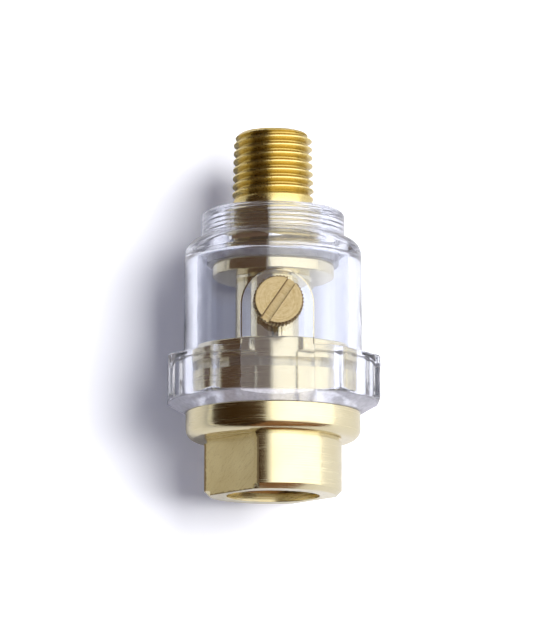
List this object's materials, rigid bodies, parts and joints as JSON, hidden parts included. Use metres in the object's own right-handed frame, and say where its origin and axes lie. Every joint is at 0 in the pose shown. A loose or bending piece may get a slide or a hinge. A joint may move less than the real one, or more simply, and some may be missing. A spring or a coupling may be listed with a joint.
{
  "type": "air line lubricator",
  "caption": "Small in-line oiler for compressed air: brass inlet base and through stem, clear oil bowl with a ten-sided grip, slotted fill screw.",
  "frame": {"origin": "centre of the female inlet port, on the inlet face that the part stands on", "axes": "+Z along the air flow, from the female inlet to the male outlet; -Y towards the fill screw"},
  "size_m": [0.0348, 0.0382, 0.0606],
  "materials": {
    "turned_brass": "fine turned brass, pale and satin",
    "screw_brass": "turned brass, warmer, knurled",
    "clear_bowl": "clear moulded polycarbonate",
    "clear_seal": "translucent sealing washer",
    "dark_seal": "dark nitrile rubber",
    "wick_felt": "pressed wool felt"
  },
  "bodies": {
    "stem_and_base": {"inlet_base": "turned_brass", "outlet_stem": "turned_brass", "metering_wick": "wick_felt", "base_seal": "clear_seal"},
    "neck_washer": {"neck_seal": "clear_seal"},
    "bowl": {"bowl": "clear_bowl"},
    "screw_washer": {"fill_seal": "dark_seal"},
    "fill_screw": {"fill_screw": "screw_brass"}
  },
  "joints": [
    {"name": "bowl_lift", "type": "slide", "parent": "stem_and_base", "child": "neck_washer", "axis": [0, 0, 1], "range_m": [0, 0.0045]},
    {"name": "bowl_unscrew", "type": "hinge", "parent": "neck_washer", "child": "bowl", "pos_m": [0, 0, 0.0395], "axis": [0, 0, 1], "range_deg": [0, 2161]},
    {"name": "screw_lift", "type": "slide", "parent": "bowl", "child": "screw_washer", "axis": [0, -1, 0], "range_m": [0, 0.0048]},
    {"name": "screw_unscrew", "type": "hinge", "parent": "screw_washer", "child": "fill_screw", "pos_m": [0, -0.0159, 0.0292], "axis": [0, -1, 0], "range_deg": [0, 2161]}
  ],
  "couplings": [
    {"joint": "bowl_unscrew", "follows": "bowl_lift", "rad_per_m": 8377.6},
    {"joint": "screw_unscrew", "follows": "screw_lift", "rad_per_m": 7854}
  ]
}
